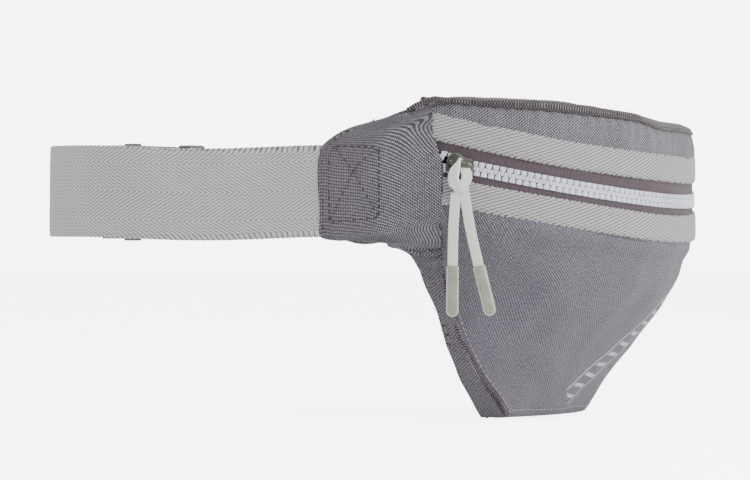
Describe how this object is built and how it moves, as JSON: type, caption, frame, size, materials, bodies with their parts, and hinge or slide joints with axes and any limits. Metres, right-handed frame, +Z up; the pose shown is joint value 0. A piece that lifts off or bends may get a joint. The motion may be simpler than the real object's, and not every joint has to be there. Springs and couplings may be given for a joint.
{
  "type": "waist pack",
  "caption": "Curved zipped waist pack with padded back, light webbing trims, corded zip pull and an adjustable webbing belt closed by a side-release buckle.",
  "frame": {"origin": "centre of the flat outer face of the back panel, where it rests on the wearer", "axes": "+Z up, -Y out of the front of the pouch, +Y towards the wearer, +X to the right seen from the front"},
  "size_m": [0.2892, 0.2646, 0.1411],
  "materials": {
    "pack_fabric": "coarse ballistic weave, purple grey",
    "back_mesh": "plain padded back cloth, dark grey",
    "foam": "closed-cell foam",
    "webbing": "herringbone webbing, light grey",
    "trim_webbing": "light grey binding",
    "zip_tape": "dark woven tape",
    "zip_teeth": "pale moulded plastic",
    "slider_metal": "dark olive-grey enamel",
    "pull_cord": "off-white flat cord",
    "cord_tip": "grey-green dipped tip",
    "buckle_plastic": "moulded acetal, dark grey",
    "keeper_elastic": "ribbed elastic"
  },
  "bodies": {
    "pack": {"back_panel": "back_mesh", "back_foam": "foam", "front_panel_lower": "pack_fabric", "front_panel_upper": "pack_fabric", "top_panel": "pack_fabric", "top_piping": "pack_fabric", "side_gusset_left": "pack_fabric", "side_gusset_right": "pack_fabric", "bottom_panel": "pack_fabric", "wing_left": "pack_fabric", "wing_right": "pack_fabric", "wing_pad_left": "back_mesh", "wing_pad_right": "back_mesh", "trim_tape_upper": "trim_webbing", "trim_tape_lower": "trim_webbing", "zip_tape_upper": "zip_tape", "zip_tape_lower": "zip_tape", "zip_teeth_upper": "zip_teeth", "zip_teeth_lower": "zip_teeth", "zip_stops": "zip_teeth", "belt_left": "webbing", "belt_right": "webbing", "belt_tail": "webbing", "buckle_socket": "buckle_plastic", "buckle_plug": "buckle_plastic"},
    "slider": {"slider_body": "slider_metal", "slider_bridge": "slider_metal"},
    "pull": {"pull_cord_loop": "pull_cord", "pull_knot": "pull_cord", "pull_cord_left": "pull_cord", "pull_cord_right": "pull_cord", "pull_tip_left": "cord_tip", "pull_tip_right": "cord_tip"},
    "press_upper": {"buckle_arm_upper": "buckle_plastic"},
    "press_lower": {"buckle_arm_lower": "buckle_plastic"},
    "keeper": {"keeper_loop": "keeper_elastic"}
  },
  "joints": [
    {"name": "slider_travel", "type": "hinge", "parent": "pack", "child": "slider", "pos_m": [0, 0.0277, 0.0468], "axis": [0, -0.2164, 0.9763], "range_deg": [0, 143], "deforming": ["zip_teeth_upper", "zip_teeth_lower"]},
    {"name": "pull_swing", "type": "hinge", "parent": "slider", "child": "pull", "pos_m": [-0.10384, -0.00574, 0.04081], "axis": [-0.3107, 0.928, 0.2057], "range_deg": [0, 110]},
    {"name": "arm_upper_press", "type": "hinge", "parent": "pack", "child": "press_upper", "pos_m": [0, 0.18315, 0.041], "axis": [0, -1, 0], "range_deg": [0, 9], "stiffness_Nm_per_rad": 0.9},
    {"name": "arm_lower_press", "type": "hinge", "parent": "pack", "child": "press_lower", "pos_m": [0, 0.18315, 0.017], "axis": [0, 1, 0], "range_deg": [0, 9], "stiffness_Nm_per_rad": 0.9},
    {"name": "keeper_slide", "type": "slide", "parent": "pack", "child": "keeper", "axis": [1, 0, 0], "range_m": [-0.023, 0.03]}
  ]
}
